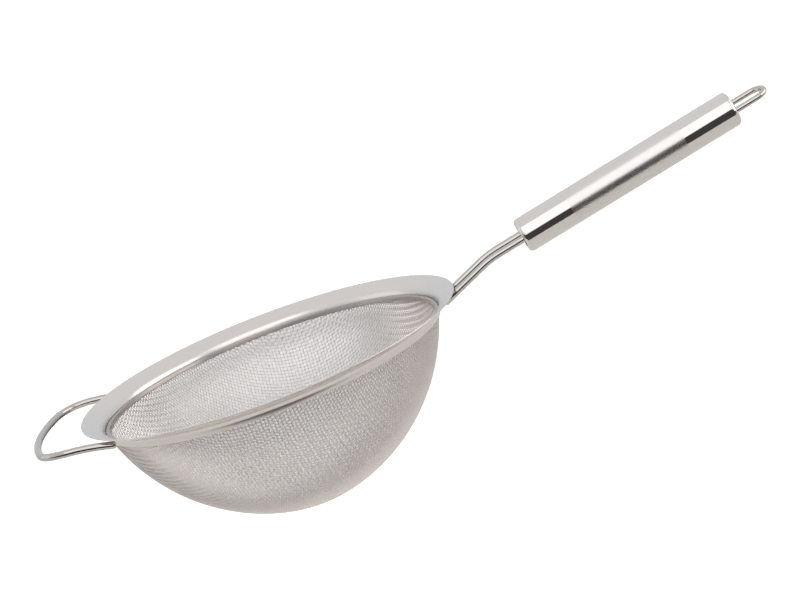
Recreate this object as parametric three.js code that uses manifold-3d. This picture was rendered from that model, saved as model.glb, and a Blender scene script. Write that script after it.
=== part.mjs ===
// Tea strainer: a bowl of woven wire cloth clamped in a pressed steel rim, a wire rest loop on one side, and
// on the other a shank of two wires that carries a hollow tube handle with a hanging loop.
// Millimetres, +Z up. The origin is the centre of the small flat that the bowl rests on. The rim is level,
// the handle points along +X and the rest loop along -X.
import * as THREE from "three";
import { mergeVertices } from "three/addons/utils/BufferGeometryUtils.js";
import Module from "manifold-3d";

// Clearances and fineness
const GAP = 0.3; // between pieces that touch on the real object
const ROUND_SEGMENTS = 64; // around the bowl and the rim
const TUBE_SEGMENTS = 32; // around the handle
const WIRE_SIDES = 8;
const ARC_STEPS = 4; // along a small rounded edge

// Bowl: a wide arc down the wall and a tighter one across the base, centred on the axis, with a small flat
const FLAT_RADIUS = 8;
const BASE_RADIUS = 60; // outer face of the cloth, as are the wall's measures
const BASE_CENTRE = Math.sqrt(BASE_RADIUS ** 2 - FLAT_RADIUS ** 2); // height of the base arc's centre
const WALL_RADIUS = 80.4;
const WALL_MEETS_BASE = THREE.MathUtils.degToRad(72); // angle below level of the radius where the arcs meet
const WALL_CENTRE_R = (BASE_RADIUS - WALL_RADIUS) * Math.cos(WALL_MEETS_BASE);
const WALL_CENTRE_Z = BASE_CENTRE - (BASE_RADIUS - WALL_RADIUS) * Math.sin(WALL_MEETS_BASE);
const CLOTH_THICKNESS = 0.8; // two crossing wires
const RIM_HEIGHT = BASE_CENTRE + 5.05; // lip's outer edge above the resting flat
const CLOTH_TOP = RIM_HEIGHT - 6.3; // the cloth's edge, inside the clamp
const WALL_STEPS = 10;
const BASE_STEPS = 3;

// Rim
const RIM_RADIUS = 80; // lip's outer edge
const SHEET = 0.5; // rim sheet
const LIP_LENGTH = 6.6; // straight part of the lip, down its slope
const LIP_SLOPE = THREE.MathUtils.degToRad(24.5); // below level, going inwards
const BEND_RADIUS = 3.5; // inner face of the bend between the lip and the skirt
const SKIRT_SLOPE = THREE.MathUtils.degToRad(78.5); // below level
const SKIRT_BOTTOM = RIM_HEIGHT - 7.1;

// Clamp ring
const CLAMP_SHEET = 0.5;
const CLAMP_BOTTOM = RIM_HEIGHT - 7.4;
const CLAMP_LEDGE = CLOTH_TOP + GAP + CLAMP_SHEET; // top of its turned edge, which covers the cloth's edge
const CLAMP_TIP_RADIUS = 71.4;

// Rest loop
const REST_WIRE = 3; // diameter
const REST_CORNER_X = 92.3; // where the legs' line meets the outer bar's
const REST_HALF_WIDTH = 39;
const REST_BOW = 9.5; // how far the point that the outer bar curves towards stands beyond its ends
const REST_BOW_CUT = 27; // how far the bar's curve reaches on each side of its middle
const REST_CORNER_CUT = 12; // how far each rounded corner reaches along the leg and the bar
const REST_TOP = RIM_HEIGHT - 1.1; // wire's centre over the level part
const REST_LEVEL_X = 90; // inside this the legs dip
const REST_DIP = 0.0055; // of the legs, times the square of the distance past REST_LEVEL_X
const REST_END_X = 63.8; // legs end at the skirt
const REST_STEPS = 52;

// Handle
const HANDLE_TILT = THREE.MathUtils.degToRad(11.5); // above level
const HANDLE_START = new THREE.Vector3(112.4, 0, RIM_HEIGHT + 8.5); // centre of its front end
const HANDLE_LENGTH = 99;
const HANDLE_RADIUS = 7.4;
const HANDLE_WALL = 0.6;
const CAP_THICKNESS = 2.6; // outside the tube
const CAP_EDGE = 2; // radius of its rounded edge
const CAP_SPIGOT = 5; // inside the tube

// Shank
const SHANK_WIRE = 3;
const SHANK_SPACING = 10; // between the wires' centres
const SHANK_LIP_DROP = 2.45; // wire's centre below the lip's outer edge; the wires run parallel to the lip
const SHANK_END_X = 74.3; // wires end at the skirt
const SHANK_BEND_CUT = 4.5; // how far the bend reaches along each stretch
const SHANK_TAIL = 9; // inside the handle
const SHANK_STEPS = 20;

// Hanging loop
const HANG_WIRE = 2.4;
const HANG_SPACING = 9.4; // between the legs' centres
const HANG_REACH = 13.7; // wire's centre past the handle's rear end
const HANG_TAIL = 9; // inside the handle
const HANG_TWIST = THREE.MathUtils.degToRad(9); // the loop is turned a little about the handle's axis
const HANG_STEPS = 36;

const wasm = await Module();
wasm.setup();

function material(color, roughness, metalness) {
  return new THREE.MeshStandardMaterial({ color, roughness, metalness });
}

const clothSteel = material(0xb9b4ae, 0.42, 0.9);
const rimSteel = material(0xcac5c0, 0.3, 1);
const clampSteel = material(0xa39a92, 0.32, 1);
const wireSteel = material(0xd4d2cf, 0.14, 1);
const handleSteel = material(0xcdc8c2, 0.28, 1);
const capSteel = material(0xd8d5d1, 0.12, 1);

function named(name, geometry, steel) {
  const mesh = new THREE.Mesh(geometry, steel);
  mesh.name = name;
  return mesh;
}

// A closed outline of [radius, height] points turned about Z.
function revolve(outline, segments) {
  const points = outline.map(([r, z]) => new THREE.Vector2(r, z));
  const geometry = new THREE.LatheGeometry(points, segments);
  return geometry.rotateX(Math.PI / 2);
}

function asSolid(geometry) {
  const bare = geometry.clone();
  bare.deleteAttribute("normal");
  bare.deleteAttribute("uv");
  const merged = mergeVertices(bare, 1e-3);
  const mesh = new wasm.Mesh({
    numProp: 3,
    vertProperties: merged.attributes.position.array,
    triVerts: new Uint32Array(merged.index.array),
  });
  return new wasm.Manifold(mesh);
}

function asGeometry(solid) {
  const mesh = solid.getMesh();
  const geometry = new THREE.BufferGeometry();
  geometry.setAttribute("position", new THREE.BufferAttribute(mesh.vertProperties, 3));
  geometry.setIndex(new THREE.BufferAttribute(mesh.triVerts, 1));
  return geometry;
}

function cut(geometry, cutters) {
  return asGeometry(cutters.reduce((solid, cutter) => solid.subtract(asSolid(cutter)), asSolid(geometry)));
}

// A round wire along a path.
function wire(path, diameter, steps) {
  const section = new THREE.Shape();
  for (let i = 0; i < WIRE_SIDES; i++) {
    const angle = (2 * Math.PI * i) / WIRE_SIDES;
    const x = (diameter / 2) * Math.cos(angle);
    const y = (diameter / 2) * Math.sin(angle);
    if (i === 0) section.moveTo(x, y);
    else section.lineTo(x, y);
  }
  section.closePath();
  return new THREE.ExtrudeGeometry(section, { steps, extrudePath: path, curveSegments: 1 });
}

// A path of straight runs between the given points, with each inner corner rounded over its own length.
function roundedPath(points, cutLengths) {
  const path = new THREE.CurvePath();
  let from = points[0];
  for (let i = 1; i < points.length - 1; i++) {
    const corner = points[i];
    const cutLength = cutLengths[i - 1];
    const before = corner.clone().add(points[i - 1].clone().sub(corner).setLength(cutLength));
    const after = corner.clone().add(points[i + 1].clone().sub(corner).setLength(cutLength));
    path.add(new THREE.LineCurve3(from, before));
    path.add(new THREE.QuadraticBezierCurve3(before, corner, after));
    from = after;
  }
  path.add(new THREE.LineCurve3(from, points[points.length - 1]));
  return path;
}

// Points of an arc in the [radius, height] plane.
function arc(centreR, centreZ, radius, from, to, steps) {
  const points = [];
  for (let i = 0; i <= steps; i++) {
    const angle = from + ((to - from) * i) / steps;
    points.push([centreR + radius * Math.cos(angle), centreZ + radius * Math.sin(angle)]);
  }
  return points;
}

// The cloth's meridian, inset from its outer face, from the base up to its edge.
function clothFace(inset) {
  const wallRadius = WALL_RADIUS - inset;
  const baseRadius = BASE_RADIUS - inset;
  const flatAngle = -Math.acos(FLAT_RADIUS / baseRadius);
  const topAngle = -Math.asin((WALL_CENTRE_Z - CLOTH_TOP) / wallRadius);
  const base = arc(0, BASE_CENTRE, baseRadius, flatAngle, -WALL_MEETS_BASE, BASE_STEPS);
  const wall = arc(WALL_CENTRE_R, WALL_CENTRE_Z, wallRadius, -WALL_MEETS_BASE, topAngle, WALL_STEPS);
  return [...base, ...wall.slice(1)];
}

function meshBowl() {
  const outline = [
    [0, 0],
    ...clothFace(0),
    ...clothFace(CLOTH_THICKNESS).reverse(),
    [0, CLOTH_THICKNESS],
  ];
  return named("mesh_bowl", revolve(outline, ROUND_SEGMENTS), clothSteel);
}

// The rim's section: the lip comes down inwards, bends over and goes on down as the skirt.
function rimFlange() {
  const edgeR = RIM_RADIUS - SHEET * Math.sin(LIP_SLOPE);
  const lipEndR = edgeR - LIP_LENGTH * Math.cos(LIP_SLOPE);
  const lipEndZ = RIM_HEIGHT - LIP_LENGTH * Math.sin(LIP_SLOPE);
  const bendR = lipEndR + BEND_RADIUS * Math.sin(LIP_SLOPE);
  const bendZ = lipEndZ - BEND_RADIUS * Math.cos(LIP_SLOPE);
  const bendStart = Math.PI / 2 + LIP_SLOPE;
  const bendEnd = Math.PI / 2 + SKIRT_SLOPE;
  const face = arc(bendR, bendZ, BEND_RADIUS, bendStart, bendEnd, ARC_STEPS);
  const back = arc(bendR, bendZ, BEND_RADIUS - SHEET, bendEnd, bendStart, ARC_STEPS);
  const towardsBottom = ([r, z]) => [r - (z - SKIRT_BOTTOM) / Math.tan(SKIRT_SLOPE), SKIRT_BOTTOM];
  const outline = [
    [edgeR, RIM_HEIGHT],
    ...face,
    towardsBottom(face[ARC_STEPS]),
    towardsBottom(back[0]),
    ...back,
    [RIM_RADIUS, RIM_HEIGHT - SHEET * Math.cos(LIP_SLOPE)],
    [edgeR, RIM_HEIGHT],
  ];
  return named("rim_flange", revolve(outline, ROUND_SEGMENTS), rimSteel);
}

// The clamp ring stands inside the cloth, and its turned top edge covers the cloth's cut edge.
function clampRing() {
  const clothInner = (z) =>
    WALL_CENTRE_R + Math.sqrt((WALL_RADIUS - CLOTH_THICKNESS) ** 2 - (WALL_CENTRE_Z - z) ** 2);
  const ledgeUnder = CLAMP_LEDGE - CLAMP_SHEET;
  const outerBottom = clothInner(CLAMP_BOTTOM) - GAP;
  const outerTop = clothInner(ledgeUnder) - GAP;
  const corner = arc(outerTop, ledgeUnder, CLAMP_SHEET, Math.PI / 2, Math.PI, ARC_STEPS);
  const outline = [
    [outerBottom, CLAMP_BOTTOM],
    [outerTop, ledgeUnder],
    [CLAMP_TIP_RADIUS, ledgeUnder],
    [CLAMP_TIP_RADIUS, CLAMP_LEDGE],
    ...corner,
    [outerBottom - CLAMP_SHEET, CLAMP_BOTTOM],
    [outerBottom, CLAMP_BOTTOM],
  ];
  return named("clamp_ring", revolve(outline, ROUND_SEGMENTS), clampSteel);
}

// The rest loop seen from above is two straight legs and a bowed bar; from the side the legs dip to the skirt.
class RestLoopPath extends THREE.Curve {
  constructor() {
    super();
    const corner = (side) => new THREE.Vector3(-REST_CORNER_X, side * REST_HALF_WIDTH, REST_TOP);
    const end = (side) => new THREE.Vector3(-REST_END_X, side * REST_HALF_WIDTH, REST_TOP);
    const middle = new THREE.Vector3(-REST_CORNER_X - REST_BOW, 0, REST_TOP);
    const cuts = [REST_CORNER_CUT, REST_BOW_CUT, REST_CORNER_CUT];
    this.plan = roundedPath([end(1), corner(1), middle, corner(-1), end(-1)], cuts);
  }
  getPoint(t, target = new THREE.Vector3()) {
    target.copy(this.plan.getPointAt(t));
    target.z -= REST_DIP * Math.max(0, target.x + REST_LEVEL_X) ** 2;
    return target;
  }
}

function restLoop() {
  return named("rest_loop", wire(new RestLoopPath(), REST_WIRE, REST_STEPS), wireSteel);
}

// One shank wire: up from under the lip, a bend, then straight into the handle along its axis.
function shankWire(name, side) {
  const axis = new THREE.Vector3(Math.cos(HANDLE_TILT), 0, Math.sin(HANDLE_TILT));
  const lipX = RIM_RADIUS;
  const lipZ = RIM_HEIGHT - SHANK_LIP_DROP;
  const rise = Math.tan(LIP_SLOPE);
  const handleRise = Math.tan(HANDLE_TILT);
  const cornerX =
    (HANDLE_START.z - handleRise * HANDLE_START.x - lipZ + rise * lipX) / (rise - handleRise);
  const y = (side * SHANK_SPACING) / 2;
  const start = new THREE.Vector3(SHANK_END_X, y, lipZ + rise * (SHANK_END_X - lipX));
  const corner = new THREE.Vector3(cornerX, y, lipZ + rise * (cornerX - lipX));
  const end = HANDLE_START.clone().addScaledVector(axis, SHANK_TAIL).setY(y);
  const path = roundedPath([start, corner, end], [SHANK_BEND_CUT]);
  return named(name, wire(path, SHANK_WIRE, SHANK_STEPS), wireSteel);
}

// Pieces of the handle, made along +Z from the front end of the handle.
function handleTube() {
  const inner = HANDLE_RADIUS - HANDLE_WALL;
  const from = CAP_THICKNESS + GAP;
  const to = HANDLE_LENGTH - CAP_THICKNESS - GAP;
  const outline = [
    [inner, from],
    [HANDLE_RADIUS, from],
    [HANDLE_RADIUS, to],
    [inner, to],
    [inner, from],
  ];
  return named("handle_tube", revolve(outline, TUBE_SEGMENTS), handleSteel);
}

// An end cap with its flat face at z = 0 and its spigot pointing along +Z, with two holes for a wire's legs.
function capGeometry(spacing, wireDiameter) {
  const spigot = HANDLE_RADIUS - HANDLE_WALL - GAP;
  const depth = CAP_THICKNESS + CAP_SPIGOT;
  const edge = arc(HANDLE_RADIUS - CAP_EDGE, CAP_EDGE, CAP_EDGE, -Math.PI / 2, 0, ARC_STEPS);
  const outline = [
    [0, 0],
    ...edge,
    [HANDLE_RADIUS, CAP_THICKNESS],
    [spigot, CAP_THICKNESS],
    [spigot, depth],
    [0, depth],
  ];
  const holeLength = 2 * depth;
  const holes = [1, -1].map((side) => {
    const hole = new THREE.CylinderGeometry(
      wireDiameter / 2 + GAP,
      wireDiameter / 2 + GAP,
      holeLength,
      2 * WIRE_SIDES,
    );
    return hole.rotateX(Math.PI / 2).translate(0, (side * spacing) / 2, depth / 2);
  });
  return cut(revolve(outline, TUBE_SEGMENTS), holes);
}

function frontCap() {
  return named("handle_front_cap", capGeometry(SHANK_SPACING, SHANK_WIRE), capSteel);
}

function rearCap() {
  const cap = named("handle_rear_cap", capGeometry(HANG_SPACING, HANG_WIRE), capSteel);
  cap.rotation.x = Math.PI;
  return cap;
}

// A U of wire whose legs go into the rear cap, made past the handle's rear end at z = 0.
function hangingLoop() {
  const half = HANG_SPACING / 2;
  const straight = HANG_REACH - half;
  const path = new THREE.CurvePath();
  path.add(new THREE.LineCurve3(new THREE.Vector3(0, half, -HANG_TAIL), new THREE.Vector3(0, half, straight)));
  const round = new THREE.Curve();
  round.getPoint = (t, target = new THREE.Vector3()) => {
    const angle = Math.PI * t;
    return target.set(0, half * Math.cos(angle), straight + half * Math.sin(angle));
  };
  path.add(round);
  path.add(new THREE.LineCurve3(new THREE.Vector3(0, -half, straight), new THREE.Vector3(0, -half, -HANG_TAIL)));
  return named("hanging_loop", wire(path, HANG_WIRE, HANG_STEPS), wireSteel);
}

function handle() {
  const group = new THREE.Group();
  group.position.copy(HANDLE_START);
  group.rotation.y = Math.PI / 2 - HANDLE_TILT;
  const rear = new THREE.Group();
  rear.position.z = HANDLE_LENGTH;
  rear.rotation.z = HANG_TWIST;
  rear.add(rearCap(), hangingLoop());
  group.add(handleTube(), frontCap(), rear);
  return group;
}

const strainer = new THREE.Group();
strainer.add(meshBowl(), rimFlange(), clampRing(), restLoop());
strainer.add(shankWire("shank_wire_left", 1), shankWire("shank_wire_right", -1));
strainer.add(handle());

export default strainer;
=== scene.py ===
import math

import bpy
import numpy as np
from mathutils import Matrix, Vector


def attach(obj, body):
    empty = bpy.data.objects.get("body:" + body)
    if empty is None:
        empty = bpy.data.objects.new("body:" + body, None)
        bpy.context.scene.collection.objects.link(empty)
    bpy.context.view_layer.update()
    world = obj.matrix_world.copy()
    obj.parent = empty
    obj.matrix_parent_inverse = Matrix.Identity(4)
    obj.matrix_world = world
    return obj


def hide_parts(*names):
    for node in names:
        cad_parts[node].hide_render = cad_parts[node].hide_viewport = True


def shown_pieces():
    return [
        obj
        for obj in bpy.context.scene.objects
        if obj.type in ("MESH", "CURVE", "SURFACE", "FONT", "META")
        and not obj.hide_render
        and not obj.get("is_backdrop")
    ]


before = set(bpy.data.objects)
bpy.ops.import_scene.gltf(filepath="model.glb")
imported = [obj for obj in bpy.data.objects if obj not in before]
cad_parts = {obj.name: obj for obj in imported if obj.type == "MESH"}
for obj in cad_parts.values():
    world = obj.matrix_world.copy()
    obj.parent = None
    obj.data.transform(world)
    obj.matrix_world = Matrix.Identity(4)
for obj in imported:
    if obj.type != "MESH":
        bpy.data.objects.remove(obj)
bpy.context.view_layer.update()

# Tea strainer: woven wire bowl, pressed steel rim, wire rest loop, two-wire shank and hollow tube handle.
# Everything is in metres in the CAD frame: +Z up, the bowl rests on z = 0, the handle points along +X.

MM = 0.001

# Bowl: the cloth's outer face
FLAT_RADIUS = 8 * MM
BASE_RADIUS = 60 * MM
BASE_CENTRE = math.sqrt(BASE_RADIUS**2 - FLAT_RADIUS**2)
WALL_RADIUS = 80.4 * MM
WALL_MEETS_BASE = math.radians(72)
WALL_CENTRE_R = (BASE_RADIUS - WALL_RADIUS) * math.cos(WALL_MEETS_BASE)
WALL_CENTRE_Z = BASE_CENTRE - (BASE_RADIUS - WALL_RADIUS) * math.sin(WALL_MEETS_BASE)
CLOTH_THICKNESS = 0.8 * MM
RIM_HEIGHT = BASE_CENTRE + 5.05 * MM
CLOTH_TOP = RIM_HEIGHT - 6.3 * MM

# Weave
PITCH = 1.5 * MM  # between neighbouring wires
CLOTH_WIRE = 0.42 * MM  # diameter
CRIMP = 0.19 * MM  # each wire's swing to either side of the cloth's middle
CLOTH_SIDES = 6
CRIMP_STEPS = 4  # rings of vertices per pitch
WEAVE_TURN = math.radians(-8)  # of the weave about the bowl's axis
NET_REACH = 72  # wires on each side of the middle ones, more than the bowl holds
NET_ROUNDS = 6  # of the solver that places each crossing
ONTO_ROUNDS = 3  # of the steps that bring a point onto the cloth
FEWEST_POINTS = 4  # a wire with fewer is left out
WIRES_PER_PIECE = 24

# Rim
RIM_RADIUS = 80 * MM
SHEET = 0.5 * MM
LIP_LENGTH = 6.6 * MM
LIP_SLOPE = math.radians(24.5)
BEND_RADIUS = 3.5 * MM
SKIRT_SLOPE = math.radians(78.5)
SKIRT_BOTTOM = RIM_HEIGHT - 7.1 * MM
ROUND_SEGMENTS = 288
ARC_STEPS = 14
EDGE_STEPS = 6  # round a sheet's edge

# Clamp ring
CLAMP_SHEET = 0.5 * MM
CLAMP_BOTTOM = RIM_HEIGHT - 7.4 * MM
CLAMP_GAP = 0.3 * MM
CLAMP_LEDGE = CLOTH_TOP + CLAMP_GAP + CLAMP_SHEET
CLAMP_TIP_RADIUS = 71.4 * MM

# Rest loop
REST_WIRE = 3 * MM
REST_CORNER_X = 92.3 * MM
REST_HALF_WIDTH = 39 * MM
REST_BOW = 9.5 * MM  # of the point that the outer bar curves towards
REST_BOW_CUT = 27 * MM  # each side of the middle that the curve takes up
REST_CORNER_CUT = 12 * MM
REST_TOP = RIM_HEIGHT - 1.1 * MM
REST_LEVEL_X = 90 * MM
REST_DIP = 5.5  # per metre
REST_END_X = 63.8 * MM

# Handle
HANDLE_TILT = math.radians(11.5)
HANDLE_START = Vector((112.4 * MM, 0, RIM_HEIGHT + 8.5 * MM))
HANDLE_LENGTH = 99 * MM
HANDLE_RADIUS = 7.4 * MM
HANDLE_WALL = 0.6 * MM
CAP_THICKNESS = 2.6 * MM
CAP_EDGE = 2 * MM
CAP_SPIGOT = 5 * MM
CAP_CENTRE = 0.5 * MM  # radius of the disc that closes a cap's face at its middle
SPIGOT_GAP = 0.3 * MM
FRONT_BAND = 22.8 * MM  # polished length from the front end
REAR_BAND = 23.8 * MM
BAND_STEPS = 12  # rings of vertices along each finish
TUBE_SEGMENTS = 128

# Shank
SHANK_WIRE = 3 * MM
SHANK_SPACING = 10 * MM
SHANK_LIP_DROP = 2.45 * MM
SHANK_END_X = 74.3 * MM
SHANK_BEND_CUT = 4.5 * MM
SHANK_TAIL = 7 * MM

# Hanging loop
HANG_WIRE = 2.4 * MM
HANG_SPACING = 9.4 * MM
HANG_REACH = 13.7 * MM
HANG_TAIL = 7 * MM
HANG_TWIST = math.radians(9)
WIRE_SIDES = 40
WIRE_STEP = 0.7 * MM  # between rings of vertices along a thick wire
WIRE_END_EASE = 0.12  # of a wire's diameter, taken off its radius at the very end
CORNER_RINGS = 6  # the fewest round a wire's bend

# Camera
FOCAL_MM = 90
SENSOR_MM = 36
CLIP_NEAR = 0.01
CLIP_FAR = 100
VIEW_AZIMUTH = math.radians(-1)
VIEW_ELEVATION = math.radians(12.16)
VIEW_ROLL = math.radians(20.48)
CAMERA_PLACE = Vector((71.57 * MM, -788.32 * MM, RIM_HEIGHT + 171.385 * MM))
SHARP = math.radians(40)  # edges that turn by more than this are drawn crisp

# Steel finishes
NOISE_LOW = 0.3  # most of a noise texture's values lie between these two
NOISE_HIGH = 0.7
GRAIN_DETAIL = 3.0
PATCH_DETAIL = 2.0
PATCH_SCALE = 60.0
GRAIN_SHARE = 0.6  # of the fine lines in a finish, the rest being soft patches
LINES_ROUND = 3.0  # stretch of lines that run round a ring: changes in one turn
LINES_ACROSS = 5200.0  # and across them, per metre
RELIEF = 0.02 * MM
STEEL = (0.74, 0.70, 0.675)

# Room and lights
FLOOR = 30.0
FLOOR_COLOUR = (0.88, 0.85, 0.82)
FLOOR_GLOW = 0.46
HORIZON = (0.66, 0.70, 0.745)
HORIZON_END = 0.1  # height of a direction, as the sine of its angle, where the horizon's colour ends
ZENITH = (0.83, 0.83, 0.83)
ZENITH_START = 0.6
KEY_GLOW = 1.4
KEY_LEFT_GLOW = 1.5
SIDE_LEFT_GLOW = 1.0
SIDE_RIGHT_GLOW = 1.9
DARK_GLOW = 0.06
DARK = (1.0, 0.94, 0.92)
# Panels between two level lines: their reach along X, then where each line lies as (y, z)
KEY = ((-0.2, 0.85), (-1.25, 0.30), (-0.6, 1.38))
KEY_LEFT = ((-0.56, -0.2), (-1.1, 0.55), (-0.6, 1.38))
DARK_FRONT = ((-2, 2), (-1.6, 0.0), (-1.6, 0.31))
DARK_TABLE = ((-2, 2), (-1.6, 0.002), (-0.125, 0.002))
# Upright panels at the sides: x, then their reach in y and in z
SIDE_LEFT = (-1.0, (-0.3, 0.5), (0.05, 0.9))
SIDE_RIGHT = (1.2, (-0.9, 0.5), (0.05, 0.9))
SUN = 11.0
SUN_ANGLE = math.radians(4)
SUN_TARGET = (0, 0, 0.05)


# ---- Meshes ----


def quad_mesh(name, vertices, quads):
    """A smooth mesh from an array of points and an array of four-cornered faces."""
    mesh = bpy.data.meshes.new(name)
    mesh.vertices.add(len(vertices))
    mesh.vertices.foreach_set("co", vertices.astype(np.float32).ravel())
    mesh.loops.add(quads.size)
    mesh.loops.foreach_set("vertex_index", quads.astype(np.int32).ravel())
    mesh.polygons.add(len(quads))
    mesh.polygons.foreach_set("loop_start", np.arange(0, quads.size, 4, dtype=np.int32))
    mesh.polygons.foreach_set("use_smooth", np.ones(len(quads), bool))
    mesh.update(calc_edges=True)
    mesh.set_sharp_from_angle(angle=SHARP)
    return mesh


def place(mesh, materials, nodes, matrix=None):
    """Puts a mesh in the scene as a piece that replaces the given CAD nodes."""
    piece = bpy.data.objects.new(mesh.name, mesh)
    bpy.context.scene.collection.objects.link(piece)
    if matrix is not None:
        piece.matrix_world = matrix
    for material in materials:
        mesh.materials.append(material)
    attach(piece, "root")
    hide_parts(*nodes)
    return piece


def ring_quads(rings, around, closed):
    """Faces between successive rings of points; closed joins the last ring to the first."""
    ring = np.arange(rings if closed else rings - 1)[:, None]
    side = np.arange(around)[None, :]
    after = (ring + 1) % rings
    beside = (side + 1) % around
    here, there = ring * around, after * around
    corners = (here + side, there + side, there + beside, here + beside)
    return np.stack(corners, -1).reshape(-1, 4)


def fan_quads(start, around, flip):
    """Faces that close a ring of an even number of points, as strips across it."""
    rows = []
    for i in range(around // 2 - 1):
        rows.append((start + i, start + i + 1, start + around - 2 - i, start + around - 1 - i))
    faces = np.array(rows)
    return faces[:, ::-1] if flip else faces


def lathe(name, outline, segments, on_axis=False):
    """An anticlockwise outline of (radius, height) points turned about Z.

    An outline that is on_axis starts and ends at the axis, and its two ends are closed.
    """
    outline = np.array(outline)
    angle = np.arange(segments) * (2 * math.pi / segments)
    r = outline[:, 0][:, None]
    x = r * np.cos(angle)[None, :]
    y = r * np.sin(angle)[None, :]
    z = np.repeat(outline[:, 1][:, None], segments, 1)
    vertices = np.stack((x, y, z), -1).reshape(-1, 3)
    quads = ring_quads(len(outline), segments, not on_axis)[:, ::-1]
    if on_axis:
        last = (len(outline) - 1) * segments
        quads = np.concatenate((quads, fan_quads(0, segments, True), fan_quads(last, segments, False)))
    return quad_mesh(name, vertices, quads)


def unit(v):
    return v / np.linalg.norm(v, axis=-1, keepdims=True)


def sweep(points, across, radius, sides):
    """Vertices and faces of a round wire along points. across holds a vector at each point, not along it."""
    tangent = unit(np.gradient(points, axis=0))
    side = unit(np.cross(tangent, across))
    up = np.cross(side, tangent)
    angle = np.arange(sides) * (2 * math.pi / sides)
    radius = np.broadcast_to(radius, len(points))[:, None, None]
    cosine, sine = np.cos(angle)[None, :, None], np.sin(angle)[None, :, None]
    spoke = side[:, None, :] * cosine + up[:, None, :] * sine
    vertices = (points[:, None, :] + radius * spoke).reshape(-1, 3)
    faces = (
        ring_quads(len(points), sides, False),
        fan_quads(0, sides, False),
        fan_quads((len(points) - 1) * sides, sides, True),
    )
    return vertices, np.concatenate(faces)


def arc(centre_r, centre_z, radius, start, end, steps):
    angle = np.linspace(start, end, steps + 1)
    return [(centre_r + radius * math.cos(a), centre_z + radius * math.sin(a)) for a in angle]


def hemmed(centre_r, centre_z, direction, thickness):
    """Points round the rounded edge of a sheet that ends while running in a direction (an angle)."""
    half = math.pi / 2
    return arc(centre_r, centre_z, thickness / 2, direction - half, direction + half, EDGE_STEPS)


# ---- Materials ----


def node(tree, kind, **values):
    made = tree.nodes.new(kind)
    for name, value in values.items():
        setattr(made, name, value)
    return made


def math_node(tree, operation, a, b=None):
    made = node(tree, "ShaderNodeMath", operation=operation)
    for socket, value in zip(made.inputs, (a, b)):
        if value is None:
            continue
        if isinstance(value, (int, float)):
            socket.default_value = value
        else:
            tree.links.new(value, socket)
    return made.outputs[0]


def round_lines(tree, coordinates):
    """Coordinates in which noise makes fine lines round the Z axis."""
    split = node(tree, "ShaderNodeSeparateXYZ")
    tree.links.new(coordinates, split.inputs[0])
    x, y, z = split.outputs
    squared = math_node(tree, "ADD", math_node(tree, "MULTIPLY", x, x), math_node(tree, "MULTIPLY", y, y))
    r = math_node(tree, "SQRT", squared)
    joined = node(tree, "ShaderNodeCombineXYZ")
    for axis, socket in ((x, joined.inputs[0]), (y, joined.inputs[1])):
        turned = math_node(tree, "DIVIDE", axis, r)
        tree.links.new(math_node(tree, "MULTIPLY", turned, LINES_ROUND), socket)
    outward = math_node(tree, "MULTIPLY", r, LINES_ACROSS)
    upward = math_node(tree, "MULTIPLY", z, LINES_ACROSS)
    tree.links.new(math_node(tree, "ADD", outward, upward), joined.inputs[2])
    return joined.outputs[0]


def stretched(tree, coordinates, scale):
    mapping = node(tree, "ShaderNodeMapping")
    mapping.inputs["Scale"].default_value = scale
    tree.links.new(coordinates, mapping.inputs["Vector"])
    return mapping.outputs[0]


def noise(tree, vector, scale, detail):
    made = node(tree, "ShaderNodeTexNoise")
    made.inputs["Scale"].default_value = scale
    made.inputs["Detail"].default_value = detail
    tree.links.new(vector, made.inputs["Vector"])
    return made.outputs["Fac"]


def spread(tree, value, low, high):
    """A noise value taken to a range, around the middle where it mostly lies."""
    made = node(tree, "ShaderNodeMapRange")
    limits = {"From Min": NOISE_LOW, "From Max": NOISE_HIGH, "To Min": low, "To Max": high}
    for socket, number in limits.items():
        made.inputs[socket].default_value = number
    tree.links.new(value, made.inputs["Value"])
    return made.outputs["Result"]


def steel(name, colour, roughness, lines, line_scale, tint, rough_swing, bump):
    """Stainless steel. lines is 'round', for lines round Z, or a stretch of the object's own axes."""
    made = bpy.data.materials.new(name)
    made.use_nodes = True
    tree = made.node_tree
    shader = tree.nodes["Principled BSDF"]
    shader.inputs["Metallic"].default_value = 1.0
    own = node(tree, "ShaderNodeTexCoord").outputs["Object"]
    vector = round_lines(tree, own) if lines == "round" else stretched(tree, own, lines)
    grain = noise(tree, vector, line_scale, GRAIN_DETAIL)
    patches = noise(tree, own, PATCH_SCALE, PATCH_DETAIL)
    fine = math_node(tree, "MULTIPLY", grain, GRAIN_SHARE)
    soft = math_node(tree, "MULTIPLY", patches, 1 - GRAIN_SHARE)
    both = math_node(tree, "ADD", fine, soft)
    ramp = node(tree, "ShaderNodeValToRGB")
    ramp.color_ramp.elements[0].color = (*[c * (1 - tint) for c in colour], 1)
    ramp.color_ramp.elements[1].color = (*[min(1, c * (1 + tint)) for c in colour], 1)
    tree.links.new(spread(tree, both, 0.0, 1.0), ramp.inputs["Fac"])
    tree.links.new(ramp.outputs["Color"], shader.inputs["Base Color"])
    rough = spread(tree, both, roughness - rough_swing, roughness + rough_swing)
    tree.links.new(rough, shader.inputs["Roughness"])
    if bump:
        relief = node(tree, "ShaderNodeBump")
        relief.inputs["Strength"].default_value = bump
        relief.inputs["Distance"].default_value = RELIEF
        tree.links.new(grain, relief.inputs["Height"])
        tree.links.new(relief.outputs["Normal"], shader.inputs["Normal"])
    return made


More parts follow.
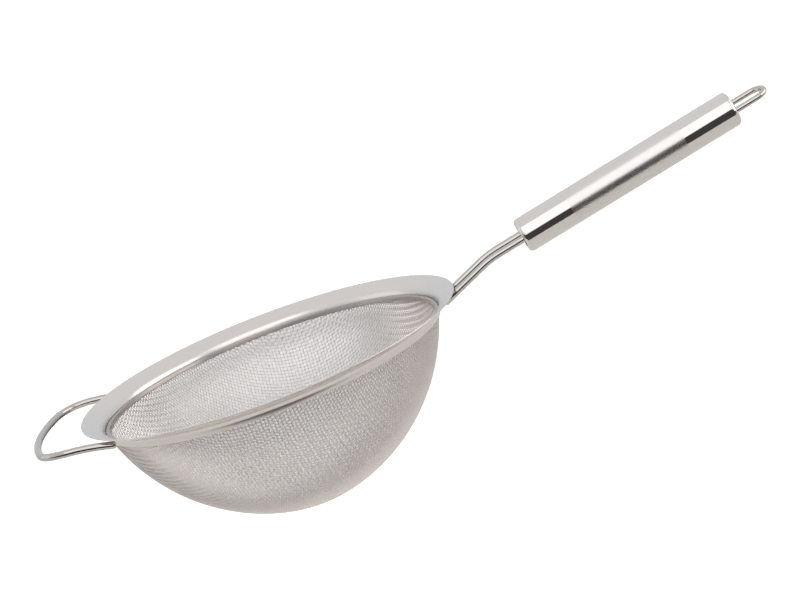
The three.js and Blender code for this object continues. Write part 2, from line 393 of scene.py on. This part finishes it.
cloth_steel = steel(
    "cloth_steel",
    (0.755, 0.715, 0.70),
    roughness=0.33,
    lines=(1, 1, 1),
    line_scale=900.0,
    tint=0.05,
    rough_swing=0.04,
    bump=0,
)
rim_steel = steel(
    "rim_steel",
    STEEL,
    roughness=0.24,
    lines="round",
    line_scale=1.0,
    tint=0.02,
    rough_swing=0.04,
    bump=0.25,
)
# Painted shade: the clamp ring's steel is made much darker than the rim's steel. The dark colour stands in
# for the shade and dark reflections in the band under the rim's bend.
clamp_steel = steel(
    "clamp_steel",
    (0.42, 0.385, 0.36),
    roughness=0.26,
    lines="round",
    line_scale=1.0,
    tint=0.04,
    rough_swing=0.04,
    bump=0.2,
)
wire_steel = steel(
    "wire_steel",
    (0.56, 0.53, 0.51),
    roughness=0.08,
    lines=(1, 1, 1),
    line_scale=700.0,
    tint=0.02,
    rough_swing=0.03,
    bump=0,
)
polished_steel = steel(
    "polished_steel",
    (0.73, 0.705, 0.685),
    roughness=0.06,
    lines=(1, 1, 0.05),
    line_scale=2500.0,
    tint=0.015,
    rough_swing=0.02,
    bump=0,
)
brushed_steel = steel(
    "brushed_steel",
    (0.72, 0.695, 0.675),
    roughness=0.27,
    lines=(1, 1, 0.012),
    line_scale=4000.0,
    tint=0.025,
    rough_swing=0.03,
    bump=0.2,
)
cap_steel = steel(
    "cap_steel",
    (0.72, 0.70, 0.68),
    roughness=0.1,
    lines=(1, 1, 1),
    line_scale=700.0,
    tint=0.02,
    rough_swing=0.03,
    bump=0,
)


# ---- Woven bowl ----

MIDDLE = CLOTH_THICKNESS / 2
JOIN_RADIUS = BASE_RADIUS * math.cos(WALL_MEETS_BASE)


def outwards(points):
    """Distance outside the cloth's middle face, and the direction that it grows in, at each point."""
    r = np.maximum(np.hypot(points[:, 0], points[:, 1]), 1e-9)
    z = points[:, 2]
    on_wall = r > JOIN_RADIUS
    on_flat = r < FLAT_RADIUS
    dr = np.where(on_wall, r - WALL_CENTRE_R, r)
    dz = np.where(on_wall, z - WALL_CENTRE_Z, z - BASE_CENTRE)
    long = np.hypot(dr, dz)
    distance = long - np.where(on_wall, WALL_RADIUS, BASE_RADIUS) + MIDDLE
    distance = np.where(on_flat, MIDDLE - z, distance)
    radial = np.where(on_flat, 0.0, dr / long)
    rise = np.where(on_flat, -1.0, dz / long)
    direction = np.stack((radial * points[:, 0] / r, radial * points[:, 1] / r, rise), -1)
    return distance, direction


def onto_cloth(points):
    for _ in range(ONTO_ROUNDS):
        distance, direction = outwards(points)
        points = points - distance[:, None] * direction
    return points


def first_wire(heading):
    """Crossings a pitch apart along the middle wire, from the bowl's bottom up the wall."""
    ahead = np.array((math.cos(heading), math.sin(heading), 0.0))
    points = [np.array((0.0, 0.0, MIDDLE))]
    step = ahead * PITCH
    for _ in range(NET_REACH):
        guess = onto_cloth((points[-1] + step)[None, :])[0]
        step = unit(guess - points[-1]) * PITCH
        guess = onto_cloth((points[-1] + step)[None, :])[0]
        step = guess - points[-1]
        points.append(guess)
    return np.array(points)


def quarter_net(heading):
    """Crossings of a quarter of the cloth, each one pitch from its two neighbours towards the middle."""
    net = np.full((NET_REACH + 1, NET_REACH + 1, 3), np.nan)
    net[:, 0] = first_wire(heading)
    net[0, :] = first_wire(heading + math.pi / 2)
    for total in range(2, 2 * NET_REACH + 1):
        i = np.arange(max(1, total - NET_REACH), min(total, NET_REACH + 1))
        j = total - i
        a, b, c = net[i - 1, j], net[i, j - 1], net[i - 1, j - 1]
        known = ~(np.isnan(a[:, 0]) | np.isnan(b[:, 0])) & (np.minimum(a[:, 2], b[:, 2]) < RIM_HEIGHT)
        if not known.any():
            break
        i, j, a, b, c = i[known], j[known], a[known], b[known], c[known]
        x = a + b - c
        for _ in range(NET_ROUNDS):
            distance, direction = outwards(x)
            rows = np.stack((2 * (x - a), 2 * (x - b), direction), 1)
            off_a = ((x - a) ** 2).sum(1) - PITCH**2
            off_b = ((x - b) ** 2).sum(1) - PITCH**2
            errors = np.stack((off_a, off_b, distance), 1)
            x = x - np.linalg.solve(rows, errors[:, :, None])[:, :, 0]
        net[i, j] = x
    return net


def whole_net():
    """Crossings of the whole cloth, as an array over both sets of wires, with the middle at NET_REACH."""
    net = np.full((2 * NET_REACH + 1, 2 * NET_REACH + 1, 3), np.nan)
    low = slice(NET_REACH, None, -1)
    high = slice(NET_REACH, None)
    quarters = [quarter_net(WEAVE_TURN + k * math.pi / 2) for k in range(4)]
    net[high, high] = quarters[0]
    net[low, high] = np.swapaxes(quarters[1], 0, 1)
    net[low, low] = quarters[2]
    net[high, low] = np.swapaxes(quarters[3], 0, 1)
    return net


def crimped(crossings, first_index, turn):
    """The wavy middle line of one wire, cut off at the cloth's edge, and the cloth's direction along it."""
    padded = np.concatenate((crossings[:1], crossings, crossings[-1:]))
    padded[0] = 2 * crossings[0] - crossings[1]
    padded[-1] = 2 * crossings[-1] - crossings[-2]
    count = len(crossings) - 1
    along = np.arange(count * CRIMP_STEPS + 1) / CRIMP_STEPS
    k = np.minimum(along.astype(int), count - 1)
    t = (along - k)[:, None]
    p0, p1, p2, p3 = padded[k], padded[k + 1], padded[k + 2], padded[k + 3]
    square = 2 * p0 - 5 * p1 + 4 * p2 - p3
    cube = 3 * p1 - p0 - 3 * p2 + p3
    line = 0.5 * (2 * p1 + (p2 - p0) * t + square * t**2 + cube * t**3)
    normal = outwards(line)[1]
    swing = CRIMP * np.cos(math.pi * (along + first_index + turn))
    line = line + normal * swing[:, None]
    inside = np.nonzero(line[:, 2] < CLOTH_TOP)[0]
    start, end = inside[0], inside[-1]
    kept = [line[start : end + 1]]
    directions = [normal[start : end + 1]]
    if start > 0:
        share = (CLOTH_TOP - line[start, 2]) / (line[start - 1, 2] - line[start, 2])
        kept.insert(0, (line[start] + share * (line[start - 1] - line[start]))[None, :])
        directions.insert(0, normal[start][None, :])
    if end < len(line) - 1:
        share = (CLOTH_TOP - line[end, 2]) / (line[end + 1, 2] - line[end, 2])
        kept.append((line[end] + share * (line[end + 1] - line[end]))[None, :])
        directions.append(normal[end][None, :])
    return np.concatenate(kept), np.concatenate(directions)


def wires_of(net, turn):
    """Every wire of one set as (middle line, directions). Rows of the net are wires."""
    wires = []
    for row in range(len(net)):
        held = np.nonzero(~np.isnan(net[row, :, 0]))[0]
        if len(held) < FEWEST_POINTS:
            continue
        crossings = net[row, held[0] : held[-1] + 1]
        if np.nanmin(crossings[:, 2]) > CLOTH_TOP - PITCH / 2 or np.isnan(crossings).any():
            continue
        line, directions = crimped(crossings, held[0] + row, turn)
        if len(line) > FEWEST_POINTS:
            wires.append((line, directions))
    return wires


def cloth_pieces(name, wires):
    for part, begin in enumerate(range(0, len(wires), WIRES_PER_PIECE)):
        vertices, quads, start = [], [], 0
        for line, directions in wires[begin : begin + WIRES_PER_PIECE]:
            v, q = sweep(line, directions, CLOTH_WIRE / 2, CLOTH_SIDES)
            vertices.append(v)
            quads.append(q + start)
            start += len(v)
        mesh = quad_mesh(f"{name}_{part + 1}", np.concatenate(vertices), np.concatenate(quads))
        place(mesh, [cloth_steel], ["mesh_bowl"])


net = whole_net()
cloth_pieces("cloth_warp", wires_of(net, 0))
cloth_pieces("cloth_weft", wires_of(np.swapaxes(net, 0, 1), 1))


# ---- Rim and clamp ring ----


def rim_outline():
    half = SHEET / 2
    lip_end_r = RIM_RADIUS - SHEET * math.sin(LIP_SLOPE) - LIP_LENGTH * math.cos(LIP_SLOPE)
    lip_end_z = RIM_HEIGHT - LIP_LENGTH * math.sin(LIP_SLOPE)
    tip_r = RIM_RADIUS - half
    lip_run = tip_r - lip_end_r - half * math.sin(LIP_SLOPE)
    tip_z = lip_end_z - half * math.cos(LIP_SLOPE) + lip_run * math.tan(LIP_SLOPE)
    tip = hemmed(tip_r, tip_z, LIP_SLOPE, SHEET)
    bend_r = lip_end_r + BEND_RADIUS * math.sin(LIP_SLOPE)
    bend_z = lip_end_z - BEND_RADIUS * math.cos(LIP_SLOPE)
    bend_start = math.pi / 2 + LIP_SLOPE
    bend_end = math.pi / 2 + SKIRT_SLOPE
    face = arc(bend_r, bend_z, BEND_RADIUS, bend_start, bend_end, ARC_STEPS)
    back = arc(bend_r, bend_z, BEND_RADIUS - SHEET, bend_end, bend_start, ARC_STEPS)
    middle_r = bend_r + (BEND_RADIUS - half) * math.cos(bend_end)
    middle_z = bend_z + (BEND_RADIUS - half) * math.sin(bend_end)
    foot_z = SKIRT_BOTTOM + half
    foot_r = middle_r - (middle_z - foot_z) / math.tan(SKIRT_SLOPE)
    foot = hemmed(foot_r, foot_z, math.pi + SKIRT_SLOPE, SHEET)
    return tip + face + foot + back


place(lathe("rim", rim_outline(), ROUND_SEGMENTS), [rim_steel], ["rim_flange"])


def clamp_outline():
    def cloth_inner(z):
        return WALL_CENTRE_R + math.sqrt((WALL_RADIUS - CLOTH_THICKNESS) ** 2 - (WALL_CENTRE_Z - z) ** 2)

    half = CLAMP_SHEET / 2
    under = CLAMP_LEDGE - CLAMP_SHEET
    outer_bottom = cloth_inner(CLAMP_BOTTOM) - CLAMP_GAP
    outer_top = cloth_inner(under) - CLAMP_GAP
    lean = math.atan2(under - CLAMP_BOTTOM, outer_top - outer_bottom)
    tip = hemmed(CLAMP_TIP_RADIUS - half, under + half, 0.0, CLAMP_SHEET)
    corner = arc(outer_top, under, CLAMP_SHEET, math.pi / 2, math.pi, ARC_STEPS)
    foot = hemmed(outer_bottom - half, CLAMP_BOTTOM + half, math.pi + lean, CLAMP_SHEET)
    return tip + corner + foot + [(outer_top, under)]


# The clamp ring takes the steel with painted shade.
place(lathe("clamp", clamp_outline(), ROUND_SEGMENTS), [clamp_steel], ["clamp_ring"])


# ---- Thick wires ----


def rounded_path(points, cuts):
    """Straight runs between the points with each inner corner rounded over its own length."""
    points = [np.array(p, float) for p in points]
    path = []

    def run(a, b):
        count = max(2, int(np.linalg.norm(b - a) / WIRE_STEP))
        path.extend(a + (b - a) * t for t in np.linspace(0, 1, count, endpoint=False))

    at = points[0]
    for before, corner, after, cut in zip(points, points[1:], points[2:], cuts):
        start = corner + unit(before - corner) * cut
        end = corner + unit(after - corner) * cut
        run(at, start)
        count = max(CORNER_RINGS, int(2 * cut / WIRE_STEP))
        for t in np.linspace(0, 1, count, endpoint=False):
            path.append((1 - t) ** 2 * start + 2 * t * (1 - t) * corner + t**2 * end)
        at = end
    run(at, points[-1])
    path.append(points[-1])
    return np.array(path)


def wire_piece(name, path, across, diameter, nodes, matrix=None):
    edge = diameter * WIRE_END_EASE
    radius = np.full(len(path), diameter / 2)
    radius[0] -= edge
    radius[-1] -= edge
    vertices, quads = sweep(path, across, radius, WIRE_SIDES)
    return place(quad_mesh(name, vertices, quads), [wire_steel], nodes, matrix)


def rest_loop_path():
    corners = (
        (-REST_END_X, REST_HALF_WIDTH, REST_TOP),
        (-REST_CORNER_X, REST_HALF_WIDTH, REST_TOP),
        (-REST_CORNER_X - REST_BOW, 0, REST_TOP),
        (-REST_CORNER_X, -REST_HALF_WIDTH, REST_TOP),
        (-REST_END_X, -REST_HALF_WIDTH, REST_TOP),
    )
    path = rounded_path(corners, (REST_CORNER_CUT, REST_BOW_CUT, REST_CORNER_CUT))
    path[:, 2] -= REST_DIP * np.maximum(0, path[:, 0] + REST_LEVEL_X) ** 2
    return path


rest_path = rest_loop_path()
up = np.tile((0.0, 0.0, 1.0), (len(rest_path), 1))
wire_piece("rest_loop_wire", rest_path, up, REST_WIRE, ["rest_loop"])

rise = math.tan(LIP_SLOPE)
handle_rise = math.tan(HANDLE_TILT)
lip_z = RIM_HEIGHT - SHANK_LIP_DROP
handle_line = HANDLE_START.z - handle_rise * HANDLE_START.x
corner_x = (handle_line - lip_z + rise * RIM_RADIUS) / (rise - handle_rise)
handle_axis = Vector((math.cos(HANDLE_TILT), 0, math.sin(HANDLE_TILT)))
for name, side, cad_node in (
    ("shank_left", 1, "shank_wire_left"),
    ("shank_right", -1, "shank_wire_right"),
):
    y = side * SHANK_SPACING / 2
    start = (SHANK_END_X, y, lip_z + rise * (SHANK_END_X - RIM_RADIUS))
    corner = (corner_x, y, lip_z + rise * (corner_x - RIM_RADIUS))
    end = HANDLE_START + handle_axis * SHANK_TAIL
    path = rounded_path((start, corner, (end.x, y, end.z)), (SHANK_BEND_CUT,))
    sideways = np.tile((0.0, 1.0, 0.0), (len(path), 1))
    wire_piece(name, path, sideways, SHANK_WIRE, [cad_node])


# ---- Handle ----

along_handle = Matrix.Translation(HANDLE_START) @ Matrix.Rotation(math.pi / 2 - HANDLE_TILT, 4, "Y")
at_rear = along_handle @ Matrix.Translation((0, 0, HANDLE_LENGTH)) @ Matrix.Rotation(HANG_TWIST, 4, "Z")


def tube_mesh():
    inner = HANDLE_RADIUS - HANDLE_WALL
    low, high = CAP_THICKNESS, HANDLE_LENGTH - CAP_THICKNESS
    bands = (low, FRONT_BAND, HANDLE_LENGTH - REAR_BAND, high)
    outer = []
    for a, b in zip(bands, bands[1:]):
        outer += [(HANDLE_RADIUS, z) for z in np.linspace(a, b, BAND_STEPS, endpoint=False)]
    outline = outer + [(HANDLE_RADIUS, high), (inner, high), (inner, low)]
    mesh = lathe("tube", outline, TUBE_SEGMENTS)
    brushed = [FRONT_BAND < p.center.z < HANDLE_LENGTH - REAR_BAND for p in mesh.polygons]
    mesh.polygons.foreach_set("material_index", np.array(brushed, np.int32))
    return mesh


place(tube_mesh(), [polished_steel, brushed_steel], ["handle_tube"], along_handle)


def cap_mesh(name):
    """A cap with its flat face at z = 0 and its spigot along +Z."""
    spigot = HANDLE_RADIUS - HANDLE_WALL - SPIGOT_GAP
    depth = CAP_THICKNESS + CAP_SPIGOT
    edge = arc(HANDLE_RADIUS - CAP_EDGE, CAP_EDGE, CAP_EDGE, -math.pi / 2, 0, ARC_STEPS)
    outline = [(CAP_CENTRE, 0)] + edge
    outline += [(HANDLE_RADIUS, CAP_THICKNESS), (spigot, CAP_THICKNESS), (spigot, depth), (CAP_CENTRE, depth)]
    return lathe(name, outline, TUBE_SEGMENTS, True)


place(cap_mesh("front_cap"), [cap_steel], ["handle_front_cap"], along_handle)
rear_cap_place = at_rear @ Matrix.Rotation(math.pi, 4, "X")
place(cap_mesh("rear_cap"), [cap_steel], ["handle_rear_cap"], rear_cap_place)


def hanging_loop_path():
    half = HANG_SPACING / 2
    straight = HANG_REACH - half
    legs = int((straight + HANG_TAIL) / WIRE_STEP)
    turn = int(math.pi * half / (WIRE_STEP / 2))
    rise_z = np.linspace(-HANG_TAIL, straight, legs, endpoint=False)
    angle = np.linspace(0, math.pi, turn, endpoint=False)
    zero = np.zeros_like
    up_leg = np.stack((zero(rise_z), zero(rise_z) + half, rise_z), -1)
    bend = np.stack((zero(angle), half * np.cos(angle), straight + half * np.sin(angle)), -1)
    down_leg = up_leg[::-1] * (1, -1, 1)
    foot = np.array([[0, -half, straight]])
    return np.concatenate((up_leg, bend, foot, down_leg))


hang_path = hanging_loop_path()
flatwise = np.tile((1.0, 0.0, 0.0), (len(hang_path), 1))
wire_piece("hanging_loop_wire", hang_path, flatwise, HANG_WIRE, ["hanging_loop"], at_rear)


# ---- Camera, light and floor ----


def aim(obj, place_at, target):
    obj.location = place_at
    obj.rotation_mode = "QUATERNION"
    obj.rotation_quaternion = (Vector(target) - Vector(place_at)).to_track_quat("-Z", "Y")


def make_camera():
    data = bpy.data.cameras.new("camera")
    data.lens = FOCAL_MM
    data.sensor_width = SENSOR_MM
    data.clip_start = CLIP_NEAR
    data.clip_end = CLIP_FAR
    camera = bpy.data.objects.new("camera", data)
    bpy.context.scene.collection.objects.link(camera)
    level_right = Vector((math.cos(VIEW_AZIMUTH), -math.sin(VIEW_AZIMUTH), 0))
    forward = Vector(
        (
            math.sin(VIEW_AZIMUTH) * math.cos(VIEW_ELEVATION),
            math.cos(VIEW_AZIMUTH) * math.cos(VIEW_ELEVATION),
            -math.sin(VIEW_ELEVATION),
        )
    )
    level_up = level_right.cross(forward)
    right = level_right * math.cos(VIEW_ROLL) - level_up * math.sin(VIEW_ROLL)
    up = level_up * math.cos(VIEW_ROLL) + level_right * math.sin(VIEW_ROLL)
    turned = Matrix((right, up, -forward)).transposed().to_4x4()
    camera.matrix_world = Matrix.Translation(CAMERA_PLACE) @ turned
    bpy.context.scene.camera = camera


make_camera()


def between_lines(reach, near, far):
    return [(reach[0], *near), (reach[1], *near), (reach[1], *far), (reach[0], *far)]


def upright(x, ys, zs):
    return [(x, ys[0], zs[0]), (x, ys[1], zs[0]), (x, ys[1], zs[1]), (x, ys[0], zs[1])]


def panel(name, corners, radiance, colour=(1, 1, 1)):
    """A flat rectangle of even brightness that is seen in reflections only."""
    mesh = bpy.data.meshes.new(name)
    mesh.from_pydata([Vector(c) for c in corners], [], [(0, 1, 2, 3)])
    made = bpy.data.materials.new(name)
    made.use_nodes = True
    tree = made.node_tree
    tree.nodes.remove(tree.nodes["Principled BSDF"])
    glow = node(tree, "ShaderNodeEmission")
    glow.inputs["Color"].default_value = (*colour, 1)
    glow.inputs["Strength"].default_value = radiance
    tree.links.new(glow.outputs[0], tree.nodes["Material Output"].inputs["Surface"])
    mesh.materials.append(made)
    piece = bpy.data.objects.new(name, mesh)
    bpy.context.scene.collection.objects.link(piece)
    piece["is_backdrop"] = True
    piece.visible_camera = False
    piece.visible_shadow = False
    piece.visible_diffuse = False


def make_floor():
    """A pale floor that the camera sees a little lighter than the light on it makes it."""
    mesh = bpy.data.meshes.new("floor")
    corners = [(x * FLOOR, y * FLOOR, 0) for x, y in ((-1, -1), (1, -1), (1, 1), (-1, 1))]
    mesh.from_pydata(corners, [], [(0, 1, 2, 3)])
    made = bpy.data.materials.new("floor")
    made.use_nodes = True
    tree = made.node_tree
    shader = tree.nodes["Principled BSDF"]
    shader.inputs["Base Color"].default_value = (*FLOOR_COLOUR, 1)
    shader.inputs["Roughness"].default_value = 1.0
    shader.inputs["Specular IOR Level"].default_value = 0.0
    shader.inputs["Emission Color"].default_value = (1, 1, 1, 1)
    path = node(tree, "ShaderNodeLightPath")
    glow = math_node(tree, "MULTIPLY", path.outputs["Is Camera Ray"], FLOOR_GLOW)
    tree.links.new(glow, shader.inputs["Emission Strength"])
    mesh.materials.append(made)
    floor = bpy.data.objects.new("floor", mesh)
    bpy.context.scene.collection.objects.link(floor)
    floor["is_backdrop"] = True


def make_world():
    """An even room that only reflections see, and plain white where the camera sees past the floor."""
    world = bpy.data.worlds.new("studio")
    bpy.context.scene.world = world
    world.use_nodes = True
    tree = world.node_tree
    ahead = node(tree, "ShaderNodeTexCoord").outputs["Generated"]
    split = node(tree, "ShaderNodeSeparateXYZ")
    tree.links.new(ahead, split.inputs[0])
    ramp = node(tree, "ShaderNodeValToRGB")
    ramp.color_ramp.elements[0].position = HORIZON_END
    ramp.color_ramp.elements[0].color = (*HORIZON, 1)
    ramp.color_ramp.elements[1].position = ZENITH_START
    ramp.color_ramp.elements[1].color = (*ZENITH, 1)
    tree.links.new(split.outputs["Z"], ramp.inputs["Fac"])
    room = tree.nodes["Background"]
    tree.links.new(ramp.outputs["Color"], room.inputs["Color"])
    seen = node(tree, "ShaderNodeBackground")
    path = node(tree, "ShaderNodeLightPath")
    both = node(tree, "ShaderNodeMixShader")
    tree.links.new(path.outputs["Is Camera Ray"], both.inputs["Fac"])
    tree.links.new(room.outputs[0], both.inputs[1])
    tree.links.new(seen.outputs[0], both.inputs[2])
    seen.inputs["Color"].default_value = (1, 1, 1, 1)
    world.cycles_visibility.diffuse = False
    tree.links.new(both.outputs[0], tree.nodes["World Output"].inputs["Surface"])


make_world()
make_floor()
panel("key", between_lines(*KEY), KEY_GLOW)
panel("key_left", between_lines(*KEY_LEFT), KEY_LEFT_GLOW)
panel("side_left", upright(*SIDE_LEFT), SIDE_LEFT_GLOW)
panel("side_right", upright(*SIDE_RIGHT), SIDE_RIGHT_GLOW)
panel("dark_front", between_lines(*DARK_FRONT), DARK_GLOW, DARK)
panel("dark_table", between_lines(*DARK_TABLE), DARK_GLOW, DARK)


def make_sun():
    """Light for the floor alone, from the camera's side, so that the bowl's shadow falls behind it."""
    data = bpy.data.lights.new("sun", "SUN")
    data.energy = SUN
    data.angle = SUN_ANGLE
    data.color = (1, 1, 1)
    sun = bpy.data.objects.new("sun", data)
    bpy.context.scene.collection.objects.link(sun)
    aim(sun, CAMERA_PLACE, SUN_TARGET)
    lit = bpy.data.collections.new("lit_by_sun")
    lit.objects.link(bpy.data.objects["floor"])
    sun.light_linking.receiver_collection = lit
    shading = bpy.data.collections.new("shading_the_floor")
    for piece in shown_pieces():
        if piece.name.startswith(("cloth", "rim", "clamp")):
            shading.objects.link(piece)
    sun.light_linking.blocker_collection = shading


make_sun()

scene = bpy.context.scene
scene.view_settings.view_transform = "Standard"
scene.view_settings.look = "None"
